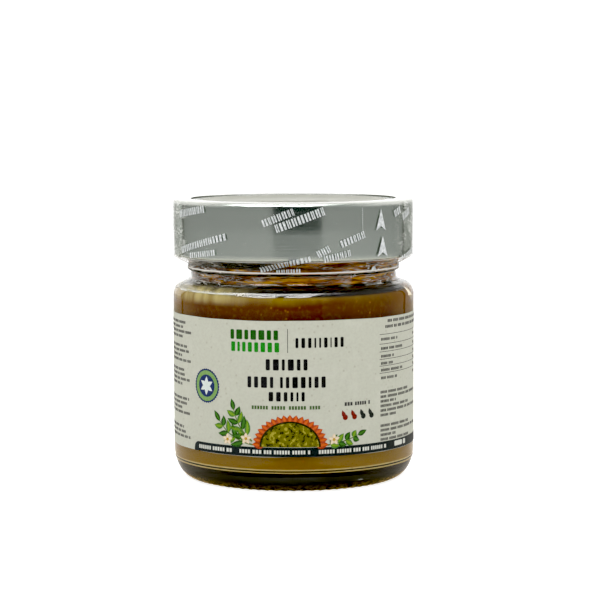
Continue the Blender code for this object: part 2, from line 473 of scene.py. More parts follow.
OLIVE = (0.43, 0.325, 0.03)
BROWN = (0.125, 0.029, 0.002)
RED_BROWN = (0.085, 0.007, 0.0015)
RIGHT_BROWN = (0.13, 0.05, 0.002)
SIDE_OLIVE = (0.20, 0.08, 0.001)
LOW_OLIVE = (0.29, 0.155, 0.004)
AMBER = (0.60, 0.19, 0.008)
DEEP_AMBER = (0.16, 0.03, 0.002)
BRIGHT_AMBER = (0.95, 0.48, 0.03)
DARK_AMBER = (0.03, 0.012, 0.012)
SHADE = (0.006, 0.004, 0.016)
PALE_GLARE = (0.70, 0.60, 0.28)
HEEL_HIGHLIGHT = (0.72, 0.6, 0.28)
GRAIN = (0.36, 0.22, 0.01)
FLECK = (0.42, 0.17, 0.02)
SHOULDER_SHADE = (54.2, 57.6)
NECK_FROM = (57.2, 57.8)
NECK_SHADE_FROM = (61.6, 62.2)
HEEL_HIGHLIGHT_Z = (6.1, 6.7)
sauce_finish, wire, shader = new_material("green_pepper_sauce", OLIVE, 0.5)
shader.inputs["Specular IOR Level"].default_value = 0.15
place = wire.node("TexCoord", out="Object")
sideways, _, level = place.split()
sideways, level = sideways * 1000.0, level * 1000.0
flat_place = wire.node("Mapping", None, {"Vector": place, "Scale": (90.0, 90.0, 900.0)})
fine_place = wire.node("Mapping", None, {"Vector": place, "Scale": (260.0, 260.0, 2200.0)})
upright_place = wire.node("Mapping", None, {"Vector": place, "Scale": (330.0, 330.0, 60.0)})
cloud = wire.node("TexNoise", None, {"Vector": place, "Scale": 90.0, "Detail": 3.0})
grain = wire.node("TexNoise", None, {"Vector": place, "Scale": 900.0, "Detail": 3.0})
streak = wire.node("TexNoise", None, {"Vector": flat_place, "Scale": 1.0, "Detail": 2.0})
fine_streak = wire.node("TexNoise", None, {"Vector": fine_place, "Scale": 1.0, "Detail": 2.0})
upright = wire.node("TexNoise", None, {"Vector": upright_place, "Scale": 1.0, "Detail": 2.0})
fleck = wire.node("TexVoronoi", None, {"Vector": place, "Scale": 620.0})
uneven = level + (cloud - 0.5) * 5.0

# Above the label, painted shade and light: red-brown in the label's shade at its edge, then brown, then
# lit olive; browner on the right as painted shade, deeper olive at the sides, a painted dark shade on
# top.
tone = uneven.rise(46.5, 51.5).mix(RED_BROWN, BROWN)
tone = uneven.rise(52.0, 56.0).mix(tone, OLIVE)
tone = (sideways.rise(8.0, 24.0) * level.rise(50.0, 53.0) * 0.85).mix(tone, RIGHT_BROWN)
tone = (abs(sideways).rise(25.0, 29.5) * level.rise(56.0, 53.0)).mix(tone, SIDE_OLIVE)
tone = level.between(*SHOULDER_SHADE, 0.3).mix(tone, SHADE)

# In the neck, painted light: flat streaks of amber light through the thin neck with bright and dark
# streaks, and a painted shade from the lid on the left.
amber = (streak + sideways * 0.004).rise(0.4, 0.56).mix(DEEP_AMBER, AMBER)
amber = (streak + sideways * 0.002).rise(0.55, 0.62).mix(amber, BRIGHT_AMBER)
amber = (fine_streak.rise(0.5, 0.4) * 0.75).mix(amber, DARK_AMBER)
amber = (level.rise(*NECK_SHADE_FROM) * sideways.rise(2.0, -8.0)).mix(amber, SHADE)
tone = level.rise(*NECK_FROM).mix(tone, amber)

# Below the label: olive, a painted highlight line where the heel begins, and painted shade under it.
tone = uneven.rise(17.0, 9.0).mix(tone, LOW_OLIVE)
tone = level.between(*HEEL_HIGHLIGHT_Z, 0.2).mix(tone, HEEL_HIGHLIGHT)
heel_shade = level.rise(6.1, 5.7)
tone = heel_shade.mix(tone, SHADE)

# A painted glare on the left shoulder, pale and upright-streaked, then grain and flecks outside the
# painted shade.
pale_glare = sideways.rise(-5.0, -24.0) * level.between(52.6, 56.2, 1.2) * upright.rise(0.1, 0.8) * 0.9
tone = pale_glare.mix(tone, PALE_GLARE)
lit = 1.0 - level.between(54.3, 57.2, 0.3) - heel_shade
tone = (grain.rise(0.45, 0.75) * 0.18 * lit).mix(tone, GRAIN)
tone = (fleck.rise(0.26, 0.14) * cloud.rise(0.48, 0.58) * 0.5 * lit).mix(tone, FLECK)
wire.feed(shader.inputs["Base Color"], tone)
finish(sauce, "sauce", sauce_finish)


# Lid. One drawn sheet of silver tinplate with a satin lacquer: a raised button in a gently dished
# panel, a flat rim, a rounded edge and a deep plain skirt that leans in a little to its curl.
LID_R = 34.55
LID_TOP_Z = 80.5
LID_EDGE_R = 1.0
LID_LOW_Z = 64.45
RIM_FLAT_R = 26.8
PANEL_R, PANEL_Z = 20.5, LID_TOP_Z - 0.6
BUTTON_FOOT_R = 11.4
BUTTON_R, BUTTON_Z = 9.3, PANEL_Z + 0.35
SKIRT_BEND_Z = 73.0
SKIRT_LEAN = 0.16
CURL_R, CURL_TOP_Z = 33.0, 65.6
SHEET = 0.25
TINPLATE = (0.57, 0.62, 0.58)
TINPLATE_DULL = (0.54, 0.585, 0.55)
PANEL_COLOUR = (0.52, 0.52, 0.46)
lid_outside = rounded([
    (0.5, BUTTON_Z, 0.0),
    (BUTTON_R, BUTTON_Z, 1.2),
    (BUTTON_FOOT_R, PANEL_Z, 1.2),
    (PANEL_R, PANEL_Z, 6.0),
    (RIM_FLAT_R, LID_TOP_Z, 3.0),
    (LID_R, LID_TOP_Z, LID_EDGE_R),
    (LID_R, SKIRT_BEND_Z, 60.0),
    (LID_R - SKIRT_LEAN, LID_LOW_Z, 0.55),
    (CURL_R, LID_LOW_Z, 0.5),
    (CURL_R, CURL_TOP_Z, 0.3),
], steps=10)
lid_inside = rounded([
    (CURL_R, CURL_TOP_Z, 0.0),
    (LID_R - SKIRT_LEAN - SHEET, CURL_TOP_Z + 1.0, 0.4),
    (LID_R - SHEET, SKIRT_BEND_Z, 60.0),
    (LID_R - SHEET, LID_TOP_Z - SHEET, LID_EDGE_R - SHEET),
    (RIM_FLAT_R, LID_TOP_Z - SHEET, 3.0),
    (PANEL_R, PANEL_Z - SHEET, 6.0),
    (BUTTON_FOOT_R, PANEL_Z - SHEET, 1.2),
    (BUTTON_R, BUTTON_Z - SHEET, 1.2),
    (0.5, BUTTON_Z - SHEET, 0.0),
])
lid_path = finer(np.concatenate([lid_outside, lid_inside[1:]]), 1.5)
lid = turned("lid_sheet", around_axis(lid_path, 256), poles=(BUTTON_Z, BUTTON_Z - SHEET))

lid_finish, wire, shader = new_material("silver_tinplate", TINPLATE, 0.16)
shader.inputs["Metallic"].default_value = 1.0
shader.inputs["Specular Tint"].default_value = (0.6, 0.6, 0.58, 1.0)
place = wire.node("TexCoord", out="Object")
rolled = wire.node("Mapping", None, {"Vector": place, "Scale": (40.0, 40.0, 2600.0)})
streak = wire.node("TexNoise", None, {"Vector": rolled, "Scale": 1.0, "Detail": 3.0})
mottle = wire.node("TexNoise", None, {"Vector": place, "Scale": 160.0, "Detail": 2.0})
sideways, ahead, level = place.split()
from_axis = (sideways * sideways + ahead * ahead) ** 0.5
in_panel = (from_axis * 1000.0).rise(RIM_FLAT_R + 0.6, RIM_FLAT_R - 0.4)
panel = in_panel * (level * 1000.0).rise(78.5, 79.0)
wire.feed(shader.inputs["Roughness"], 0.09 + mottle * 0.06 + streak * 0.03 + panel * 0.16)
metal = (mottle.rise(0.3, 0.7) * 0.4).mix(TINPLATE, TINPLATE_DULL)
wire.feed(shader.inputs["Base Color"], panel.mix(metal, PANEL_COLOUR))
bump = wire.node("Bump", None, {"Strength": 0.05, "Distance": 0.0001, "Height": streak})
wire.feed(shader.inputs["Normal"], bump)
finish(lid, "lid", lid_finish)


# Label. One strip of uncoated warm grey paper, glued round the body and lapped over its own start at
# the back. Its edges wander a little, as cut paper does.
PAPER_R = 34.86
PAPER_SHEET = 0.07
LABEL_LOW_Z, LABEL_TOP_Z = 10.5, 48.4
LABEL_TURN_DEG = -3.3
LAP_DEG = 9.0
LAP_RISE = 0.075
PRINT_R = PAPER_R + PAPER_SHEET


def on_label(flat, lift=0.0):
    """Label coordinates, millimetres right of the label's middle line and up, wrapped round the jar.

    Beyond the back of the jar the strip lies on its own start, so it rises there by the lap's sheet.
    """
    from_middle = flat[..., 0] / PRINT_R
    radius = PRINT_R + lift + LAP_RISE * np.clip((from_middle - math.radians(178.0)) / 0.03, 0.0, 1.0)
    turn = from_middle + math.radians(LABEL_TURN_DEG)
    return np.stack([radius * np.sin(turn), -radius * np.cos(turn), flat[..., 1]], axis=-1)


STRIP_FROM = -math.pi * PRINT_R
STRIP_TO = math.radians(180.0 + LAP_DEG) * PRINT_R
strip_along = np.linspace(STRIP_FROM, STRIP_TO, 260)
edge_wave = 0.05 * np.sin(strip_along * 0.14) + 0.03 * np.sin(strip_along * 0.37 + 1.0)
strip_height = np.linspace(LABEL_TOP_Z, LABEL_LOW_Z, 14)[:, None] + edge_wave
strip_flat = np.stack([strip_along + 0.0 * strip_height, strip_height], axis=-1)
strip_points = np.concatenate([on_label(strip_flat), on_label(strip_flat[::-1], -PAPER_SHEET)])
strip_rows, strip_columns = strip_points.shape[:2]
strip_index = np.arange(strip_rows * strip_columns).reshape(strip_rows, strip_columns)
half_rows = strip_rows // 2
strip_ends = np.stack([strip_index[:half_rows], strip_index[:half_rows - 1:-1]])
strip_faces = quads(np.concatenate([strip_index, strip_index[:1]])).tolist()
strip_faces += quads(strip_ends[:, :, 0]).tolist() + quads(strip_ends[::-1, :, -1]).tolist()
label = new_piece("label_paper", strip_points, strip_faces)
label.data.set_sharp_from_angle(angle=math.radians(40))

PAPER = (0.565, 0.575, 0.485)
PAPER_FIBRE = (0.49, 0.48, 0.41)
PAPER_PALE = (0.63, 0.63, 0.545)
PAPER_FLECK = (0.33, 0.30, 0.22)
paper_finish, wire, shader = new_material("grey_paper", PAPER, 0.6)
shader.inputs["Specular IOR Level"].default_value = 0.3
place = wire.node("TexCoord", out="Object")
fibre = wire.node("TexNoise", None, {"Vector": place, "Scale": 1400.0, "Detail": 4.0})
blotch = wire.node("TexNoise", None, {"Vector": place, "Scale": 260.0, "Detail": 3.0})
fleck = wire.node("TexVoronoi", None, {"Vector": place, "Scale": 420.0})
tone = (fibre.rise(0.3, 0.8) * 0.5).mix(PAPER, PAPER_FIBRE)
tone = (blotch.rise(0.45, 0.8) * 0.45).mix(tone, PAPER_PALE)
tone = (fleck.rise(0.16, 0.08) * 0.35).mix(tone, PAPER_FLECK)
wire.feed(shader.inputs["Base Color"], tone)
bump = wire.node("Bump", None, {"Strength": 0.25, "Distance": 0.00005, "Height": fibre})
wire.feed(shader.inputs["Normal"], bump)
finish(label, "label", paper_finish)


# Print. Layers of ink with a little thickness, laid on the strip: rows of plain blocks, rules, a dark
# foot band, a rosette, drops and a half-round sun between leafy sprigs.
INK_SHEET = 0.02
INK_LIFT = 0.02
INK_STEP = 0.014


def fill(left, right, low, high, step=0.7):
    """The patch from left to right between two heights, which may be functions of the place along."""
    along = np.linspace(left, right, max(2, math.ceil((right - left) / step) + 1))
    edges = [edge(along) if callable(edge) else edge + 0.0 * along for edge in (high, low)]
    return np.stack([np.stack([along, edge], axis=-1) for edge in edges])


def bar(left, right, low, high, corner=0.0):
    """A bar with round corners: at a distance past the corner's start its edge drops by the circle."""
    middle, half = 0.5 * (low + high), 0.5 * (high - low)
    corner = min(corner, half, 0.5 * (right - left))
    if corner <= 0.0:
        return fill(left, right, low, high)
    swing = corner * (1.0 - np.cos(np.linspace(0.0, 0.5 * math.pi, 5)))
    count = max(2, math.ceil((right - left - 2.0 * corner) / 0.7) + 1)
    straight = np.linspace(left + corner, right - corner, count)[1:-1]
    along = np.concatenate([left + swing, straight, right - swing[::-1]])
    past = np.maximum(np.maximum(left + corner - along, along - right + corner), 0.0)
    drop = corner - np.sqrt(np.maximum(corner**2 - past**2, 0.0))
    rise = np.maximum(half - drop, 0.01)
    return np.stack([np.stack([along, edge], axis=-1) for edge in (middle + rise, middle - rise)])


def ring(centre, outer, inner=0.02, half=False, stretch=1.0):
    """A round ring, or its upper half, with stretch times the height; outer may follow the angle."""
    turns = np.radians(np.linspace(0.0, 180.0 if half else 360.0, 145))
    away = np.stack([np.cos(turns), stretch * np.sin(turns)], axis=-1)
    reach = outer(turns)[:, None] if callable(outer) else outer
    share = np.linspace(0.0, 1.0, 2 + int(np.max(reach - inner) / 0.7))[:, None, None]
    return np.array(centre) + away * (inner + share * (reach - inner))


def strip(spine, widths):
    """A band of the given widths along a line of points."""
    along = np.gradient(spine, axis=0)
    along /= np.linalg.norm(along, axis=1, keepdims=True)
    left = np.stack([-along[:, 1], along[:, 0]], axis=1) * 0.5 * np.asarray(widths)[:, None]
    return np.stack([spine + left, spine + 0.5 * left, spine, spine - 0.5 * left, spine - left])


def curve(start, bend, end, count=16):
    """Points (1-t)^2 start + 2t(1-t) bend + t^2 end, with t from 0 to 1."""
    t = np.linspace(0.0, 1.0, count)[:, None]
    start, bend, end = np.array(start), np.array(bend), np.array(end)
    return (1.0 - t) ** 2 * start + 2.0 * t * (1.0 - t) * bend + t**2 * end


def leaf(root, tip, width, bend=0.0):
    """A pointed leaf, whose width follows sin(pi t^0.8) from root to tip."""
    root, tip = np.array(root, float), np.array(tip, float)
    side = np.array([-(tip - root)[1], (tip - root)[0]])
    t = np.linspace(0.0, 1.0, 16)
    spine = curve(root, 0.5 * (root + tip) + bend * side, tip)
    return strip(spine, width * np.sin(math.pi * t**0.8) + 0.03)


def spoke(centre, reach, turn, stretch=1.0):
    """The point at distance reach and angle turn from centre, with stretch times the height."""
    return np.array(centre) + reach * np.array([math.cos(turn), stretch * math.sin(turn)])


def words(left, right, low, high, lengths, seed, gap=0.5):
    """Rows of little blocks in groups of random lengths, from left as far as they fit before right."""
    draw = np.random.default_rng(seed)
    bars, start, pitch = [], left, 0.78 * (high - low)
    while start < right - 0.6:
        end = min(start + draw.uniform(*lengths), right)
        count = max(1, round((end - start) / pitch))
        edges = start + (end - start) * np.arange(count + 1) / count
        bars += [fill(a, b, low, high, 2.0) for a, b in zip(edges[:-1], edges[1:] - 0.3 * pitch)]
        start = end + gap
    return bars


def blocks(left, right, low, high, count, seed, gap=0.85):
    """A row of upright blocks of uneven widths, which fill the place from left to right."""
    share = np.random.default_rng(seed).uniform(0.75, 1.25, count)
    ends = left - gap + np.cumsum(share / share.sum() * (right - left + gap))
    starts = np.concatenate([[left - gap], ends[:-1]]) + gap
    return [bar(start, end, low, high, 0.3) for start, end in zip(starts, ends)]


def inked(name, patches, layer, colour, spread=0.25, across=None, specks=None):
    """Patches wrapped round the label as one ink, its colour a little uneven, on top of lower layers.

    Each patch has its own UV map, u along its columns and v across its rows. Where across is a colour,
    the patches shade to it at their middle line.
    """
    points, faces, uv, start = [], [], [], 0
    for patch in patches:
        rows, columns = patch.shape[:2]
        index = start + np.arange(rows * columns).reshape(rows, columns)
        points.append(on_label(patch, INK_LIFT + layer * INK_STEP).reshape(-1, 3))
        faces.append(quads(index))
        u, v = np.meshgrid(np.linspace(0.0, 1.0, columns), np.linspace(0.0, 1.0, rows))
        uv.append(np.stack([u, v], axis=-1).reshape(-1, 2))
        start += rows * columns
    faces = np.concatenate(faces)
    piece = new_piece(name, np.concatenate(points), faces.tolist())
    piece.data.shade_flat()
    layout = piece.data.uv_layers.new(name="UVMap")
    layout.data.foreach_set("uv", np.concatenate(uv)[faces.reshape(-1)].reshape(-1).tolist())
    thick = piece.modifiers.new("Ink", "SOLIDIFY")
    thick.thickness = INK_SHEET * MM
    thick.offset = -1.0

    ink, wire, shader = new_material(name, colour, 0.5)
    shader.inputs["Specular IOR Level"].default_value = 0.3
    place = wire.node("TexCoord", out="Object")
    speckle = wire.node("TexNoise", None, {"Vector": place, "Scale": 2200.0, "Detail": 3.0})
    light = tuple(c + spread * (0.5 - c) for c in colour)
    dark = tuple(c * (1.0 - spread) for c in colour)
    tone = speckle.rise(0.3, 0.7).mix(dark, light)
    if specks:
        coarse = wire.node("TexNoise", None, {"Vector": place, "Scale": 950.0, "Detail": 3.0})
        tone = coarse.rise(0.38, 0.46).mix((0.02, 0.02, 0.004), colour)
        tone = coarse.rise(0.55, 0.64).mix(tone, specks)
    if across:
        v = wire.node("UVMap", {"uv_map": "UVMap"}).split()[1]
        tone = (abs(v - 0.5).rise(0.34, 0.04) * 0.75).mix(tone, across)
    wire.feed(shader.inputs["Base Color"], tone)
    return finish(piece, None, ink)


BLACK = (0.008, 0.008, 0.018)
WRITING = (0.025, 0.025, 0.032)
MARK_GREEN = (0.006, 0.095, 0.008)
BRIGHT_GREEN = (0.006, 0.25, 0.012)
SUBTITLE_GREEN = (0.055, 0.12, 0.03)
BAND_GREEN = (0.004, 0.011, 0.021)
WHITE = (0.72, 0.73, 0.66)

# Rows of the black blocks: left, right, low, high, how many and the seed of their widths.
BLACK_ROWS = (
    (-5.7, 5.9, 34.7, 37.8, 6, 1),
    (-11.0, -3.6, 29.8, 32.9, 4, 2),
    (-1.7, 11.0, 29.8, 32.9, 7, 3),
    (-4.9, 5.1, 26.1, 28.7, 6, 5),
    (2.6, 16.3, 40.9, 43.7, 9, 7),
)
inked("print_black", [block for row in BLACK_ROWS for block in blocks(*row)], 0, BLACK, 0.02)
inked("print_mark_green", blocks(-16.2, -2.2, 43.1, 45.8, 7, 8, 0.7), 0, MARK_GREEN, 0.04)
inked("print_bright_green", blocks(-16.0, -1.9, 39.7, 42.4, 8, 9, 0.7), 0, BRIGHT_GREEN, 0.05)

SMALL_HIGH = 0.74
LINE_PITCH = 1.36
EMPTY_LINES = (4, 9, 14, 15, 20, 21)
all_lines = np.arange(46.6, 12.6, -LINE_PITCH)
left_lines = [z for number, z in enumerate(all_lines) if number not in EMPTY_LINES]
left_column = []
for number, z in enumerate(left_lines):
    line_end = -31.8 - 6.0 * (0.5 + 0.5 * math.sin(number * 2.4))
    left_column += words(-61.0, line_end, z - SMALL_HIGH, z, (1.6, 5.0), 40 + number)
TABLE_RULES = (43.5, 40.8, 38.6, 36.5, 34.6, 32.6)
TABLE_LINES = (42.5, 39.9, 37.7, 35.7, 33.8, 31.6)
RIGHT_LINES = (27.6, 26.3, 25.0, 23.7, 22.4, 21.1, 18.1, 16.8, 15.5, 14.2)
table = [fill(28.6, 60.0, z - 0.07, z + 0.07) for z in TABLE_RULES]
table += words(32.0, 58.0, 46.8, 47.6, (1.5, 4.0), 71) + words(31.0, 59.0, 45.2, 46.0, (1.5, 4.0), 72)
for number, z in enumerate(TABLE_LINES):
    table += words(29.2, 37.0 + 3.0 * math.sin(number * 1.9), z - SMALL_HIGH, z, (2.0, 4.5), 80 + number)
    table += [bar(49.5, 51.6, z - SMALL_HIGH, z, 0.16)]
for number, z in enumerate(RIGHT_LINES):
    table += words(29.0, 44.0 + 9.0 * math.sin(number * 2.1), z - SMALL_HIGH, z, (1.6, 5.0), 90 + number)
heat_caption = words(16.6, 25.1, 24.4, 25.4, (2.2, 4.0), 12, 0.6)
divider = [fill(0.36, 0.52, 39.6, 46.2, 0.1)]
inked("print_writing", left_column + table + heat_caption + divider, 0, WRITING, 0.1)
subtitle = words(-9.8, 9.8, 23.8, 24.8, (3.0, 5.0), 4, 0.8)
inked("print_subtitle", subtitle, 0, SUBTITLE_GREEN, 0.1)

BAND_FROM = -30.5
BAND_TOP_Z = 13.2
BAND_LOW_Z = 10.55
BAND_CORNER = 2.0


def band_top(along):
    """The band's upper edge over its round corner: a quarter circle up to the straight edge."""
    past = BAND_FROM + BAND_CORNER - along
    return BAND_TOP_Z - BAND_CORNER + np.sqrt(np.maximum(BAND_CORNER**2 - past**2, 0.0))


band_start = fill(BAND_FROM, BAND_FROM + BAND_CORNER, BAND_LOW_Z, band_top, 0.2)
band_run = fill(BAND_FROM + BAND_CORNER, STRIP_TO - 0.2, BAND_LOW_Z, BAND_TOP_Z)
band = np.concatenate([band_start, band_run[:, 1:]], axis=1)
inked("print_band", [band], 0, BAND_GREEN, 0.03)
BAND_WORD = (11.35, 12.4)
band_words = words(-28.3, -15.8, *BAND_WORD, (2.0, 6.0), 21)
band_words += words(-13.6, 6.8, *BAND_WORD, (2.0, 6.0), 22)
band_words += words(9.0, 31.5, *BAND_WORD, (2.0, 6.0), 23)
band_words += [bar(35.3, 39.6, 11.3, 12.7, 0.3), bar(40.3, 41.8, 11.3, 12.7, 0.3)]
inked("print_band_words", band_words, 1, WHITE, 0.1)

ROSETTE = (-25.0, 29.3)
ROSETTE_BLUE = (0.006, 0.022, 0.13)
ROSETTE_GREEN = (0.20, 0.38, 0.10)
PETAL_WHITE = (0.75, 0.82, 0.78)


def scallop(turns):
    """The rosette's outer edge: a circle of 4.65 with 36 small bows on it."""
    return 4.65 + 0.22 * np.abs(np.cos(18.0 * turns))


petal_turns = np.arange(6) * math.pi / 3.0 + 0.5
petals = [leaf(ROSETTE, spoke(ROSETTE, 2.6, turn), 1.25) for turn in petal_turns]
rosette_edge = [ring(ROSETTE, scallop, 4.3), ring(ROSETTE, 3.15)]
inked("print_rosette_edge", rosette_edge, 1, ROSETTE_BLUE, 0.05)
inked("print_rosette_green", [ring(ROSETTE, 4.32, 3.13)], 1, ROSETTE_GREEN, 0.12)
inked("print_rosette_petals", petals, 2, PETAL_WHITE, 0.1)

DROPS = (16.8, 19.7, 22.6, 25.5)
DROP_Z = 21.2
DROP_RED = (0.21, 0.006, 0.006)
DROP_DARK = (0.012, 0.018, 0.024)
drops = [ring((s, DROP_Z), 0.78) for s in DROPS]
drop_tips = [leaf((s, DROP_Z), (s - 0.9, DROP_Z + 2.0), 1.15, 0.1) for s in DROPS]
inked("print_heat_red", drops[:2] + drop_tips[:2], 0, DROP_RED, 0.05)
inked("print_heat_dark", drops[2:] + drop_tips[2:], 0, DROP_DARK, 0.05)

SUN = (1.0, 13.3)
SUN_RAYS = 19
SUN_STRETCH = 0.84
SUN_R = 8.05
RAY_RED = (0.42, 0.045, 0.01)
RAY_ORANGE = (0.75, 0.16, 0.03)
SUN_RIM = (0.010, 0.012, 0.006)
SUN_OLIVE = (0.17, 0.155, 0.012)
SUN_SPECK = (0.42, 0.36, 0.05)
ray_turns = np.radians(np.linspace(4.0, 176.0, SUN_RAYS))
rays = [
    leaf(spoke(SUN, 7.2, turn, SUN_STRETCH), spoke(SUN, 10.8, turn, SUN_STRETCH), 2.2)
    for turn in ray_turns
]
sun_edge = ring(SUN, 8.6, 8.0, half=True, stretch=SUN_STRETCH)
sun = ring(SUN, SUN_R, half=True, stretch=SUN_STRETCH)
inked("print_sun_rays", rays, 0, RAY_RED, 0.08, across=RAY_ORANGE)
inked("print_sun_edge", [sun_edge], 1, SUN_RIM, 0.05)
inked("print_sun", [sun], 1, SUN_OLIVE, 0.1, specks=SUN_SPECK)

STEM_GREEN = (0.10, 0.16, 0.02)
DARK_LEAF = (0.008, 0.06, 0.008)
DARK_LEAF_VEIN = (0.07, 0.24, 0.03)
LIGHT_LEAF = (0.06, 0.20, 0.02)
LIGHT_LEAF_VEIN = (0.26, 0.42, 0.03)
PETAL_CREAM = (0.78, 0.62, 0.42)
PETAL_PALE = (0.86, 0.76, 0.6)
HEART_GOLD = (0.55, 0.33, 0.02)
LOWEST_TIP_Z = 13.5
low_stem = curve((10.0, 13.6), (16.0, 14.0), (21.5, 16.3))
middle_stem = curve((-9.5, 13.8), (-17.0, 15.0), (-20.5, 20.5))
tall_stem = curve((-9.8, 14.8), (-14.2, 18.0), (-15.5, 24.0))
stems = [strip(stem, np.linspace(0.5, 0.2, 16)) for stem in (low_stem, middle_stem, tall_stem)]
dark_leaves, light_leaves = [], []
for stem, size in ((low_stem, 3.2), (middle_stem, 4.4), (tall_stem, 4.4)):
    for order, spot in enumerate((3, 6, 9, 12)):
        run = stem[spot + 1] - stem[spot]
        run = run / np.linalg.norm(run)
        side = np.array([-run[1], run[0]])
        for way in (1.0, -1.0):
            tip = stem[spot] + (run * 0.75 + side * way * 0.75) * size * (1.0 - 0.12 * order)
            tip[1] = max(tip[1], LOWEST_TIP_Z)
            shade = dark_leaves if (order + (way > 0)) % 2 else light_leaves
            shade.append(leaf(stem[spot], tip, 1.7, 0.12 * way))
    dark_leaves.append(leaf(stem[-2], stem[-1] + (stem[-1] - stem[-2]) * 3.0, 1.5))
BLOSSOMS = ((-11.6, 15.4), (-17.4, 14.9), (13.4, 15.2))
blossom_turns = np.arange(5) * 2.0 * math.pi / 5.0 + 0.3
blossoms = [leaf(at, spoke(at, 1.7, turn), 1.1) for at in BLOSSOMS for turn in blossom_turns]
inked("print_stems", stems, 0, STEM_GREEN, 0.1)
inked("print_dark_leaves", dark_leaves, 1, DARK_LEAF, 0.06, across=DARK_LEAF_VEIN)
inked("print_light_leaves", light_leaves, 1, LIGHT_LEAF, 0.1, across=LIGHT_LEAF_VEIN)
inked("print_blossoms", blossoms, 2, PETAL_CREAM, 0.12, across=PETAL_PALE)
inked("print_hearts", [ring(at, 0.42) for at in BLOSSOMS], 3, HEART_GOLD, 0.1)


# Shrink band. Clear film drawn tight over the cap's edge and skirt and in under it to the neck, where
# it creases all over, down to the shoulder.
FILM_SHEET = 0.04
CAP_CLEAR = 0.28
GLASS_CLEAR = 0.14
FILM_TOP_R = 29.7
FILM_END_Z = 55.0
LOOSE_FROM_Z = 64.4
FILM_COLUMNS = 320
CRUSH, FINE_CRUSH = 0.15, 0.07
DRAPE = 0.03
LIFT_MOST = 0.22
FILM_WHITE = (0.86, 0.87, 0.82)
FILM_CREAM = (0.86, 0.82, 0.76)
FILM_SHADE = (0.01, 0.009, 0.008)
film_wall = [
    (FILM_TOP_R, LID_TOP_Z + CAP_CLEAR, 0.0),
    (LID_R + CAP_CLEAR, LID_TOP_Z + CAP_CLEAR, LID_EDGE_R + CAP_CLEAR),
    (LID_R + CAP_CLEAR, LID_LOW_Z - 0.1, 0.8),
    (BEAD_R + GLASS_CLEAR, 62.3, 0.4),
    (BEAD_R + GLASS_CLEAR, 60.7, 0.4),
    (NECK_R + GLASS_CLEAR, 60.0, 0.4),
    (NECK_R + GLASS_CLEAR, SHOULDER_Z + 0.6, 1.8),
    (GLASS_R + GLASS_CLEAR - 0.2, SHOULDER_Z + GLASS_CLEAR, 3.6),
    (GLASS_R + GLASS_CLEAR - 0.2, 53.5, 0.0),
]
film_path = rounded(film_wall)
tight_rows = int(np.argmax(film_path[:, 1] < LOOSE_FROM_Z))
tight_part, loose_part = finer(film_path[:tight_rows], 0.8), finer(film_path[tight_rows - 1:], 0.24)
film_path = np.concatenate([tight_part, loose_part[1:]])
film_path = film_path[film_path[:, 1] > FILM_END_Z]
film_grid = around_axis(film_path, FILM_COLUMNS)
slope = np.gradient(film_path, axis=0)
slope /= np.linalg.norm(slope, axis=1, keepdims=True)
tight = np.clip((film_path[:, 1:] - 63.2) / 1.0, 0.0, 1.0)
crush = CRUSH * np.abs(waves(film_grid * (1.0, 1.0, 1.6), 3.2, 16, 11))
crush += FINE_CRUSH * np.abs(waves(film_grid, 1.6, 16, 12))
drape = DRAPE * np.clip(0.5 + 0.5 * waves(film_grid * (1.0, 1.0, 0.25), 9.0, 10, 13), 0.0, 1.0)
calm = 0.25 + 0.75 * np.clip((film_path[:, 1:] - 57.0) / 1.5, 0.0, 1.0)
lifted = np.clip((1.0 - tight) * crush * calm + tight * drape, 0.0, LIFT_MOST)
film_grid = push(film_grid, -slope[:, 1:] * lifted)
film_grid[..., 2] += slope[:, :1] * lifted
film = turned("shrink_film", film_grid)
thicken = film.modifiers.new("Sheet", "SOLIDIFY")
thicken.thickness = FILM_SHEET * MM
thicken.offset = -1.0

film_finish, wire, shader = new_material("clear_film", FILM_WHITE, 0.08)
shader.inputs["Specular IOR Level"].default_value = 0.15
place = wire.node("TexCoord", out="Object")
across, _, level = place.split()
across, level = across * 1000.0, level * 1000.0
loose = level.rise(64.3, 63.4)
edge = abs(across).rise(28.0, 33.0)
long_place = wire.node("Mapping", None, {"Vector": place, "Scale": (130.0, 130.0, 1000.0)})
long_noise = {"Vector": long_place, "Scale": 1.0, "Detail": 3.0, "Distortion": 1.2}
fine_noise = {"Vector": place, "Scale": 650.0, "Detail": 2.0, "Distortion": 1.5}
long_crease = wire.node("TexNoise", None, long_noise)
fine_crease = wire.node("TexNoise", None, fine_noise)
patch = wire.node("TexNoise", None, {"Vector": place, "Scale": 190.0, "Detail": 1.0})
facing = wire.node("LayerWeight", None, {"Blend": 0.5}, out="Facing")
in_neck = loose * level.rise(56.6, 57.6)
side = in_neck * abs(across).rise(12.0, 24.0)

# The veil is how much of the film shows: a painted sheen towards its grazing edges, and painted glints
# and dark lines along its creases in patches, least on the skirt and less in the lid's painted shade.
lines = abs(long_crease - 0.5).rise(0.03, 0.006)
lines = lines + abs(fine_crease - 0.5).rise(0.02, 0.004) * (0.25 + edge * 0.6)
shaded = 1.0 - level.rise(61.6, 62.2) * across.rise(4.0, -8.0) * in_neck * 0.7
sheen = facing**5.0 * 0.15 * (1.0 - loose * 0.9)
strength = 0.01 + in_neck * 0.35 + side + edge * 0.6
veil = 0.004 + sheen + lines * strength * (patch + side * 0.15).rise(0.4, 0.6) * shaded
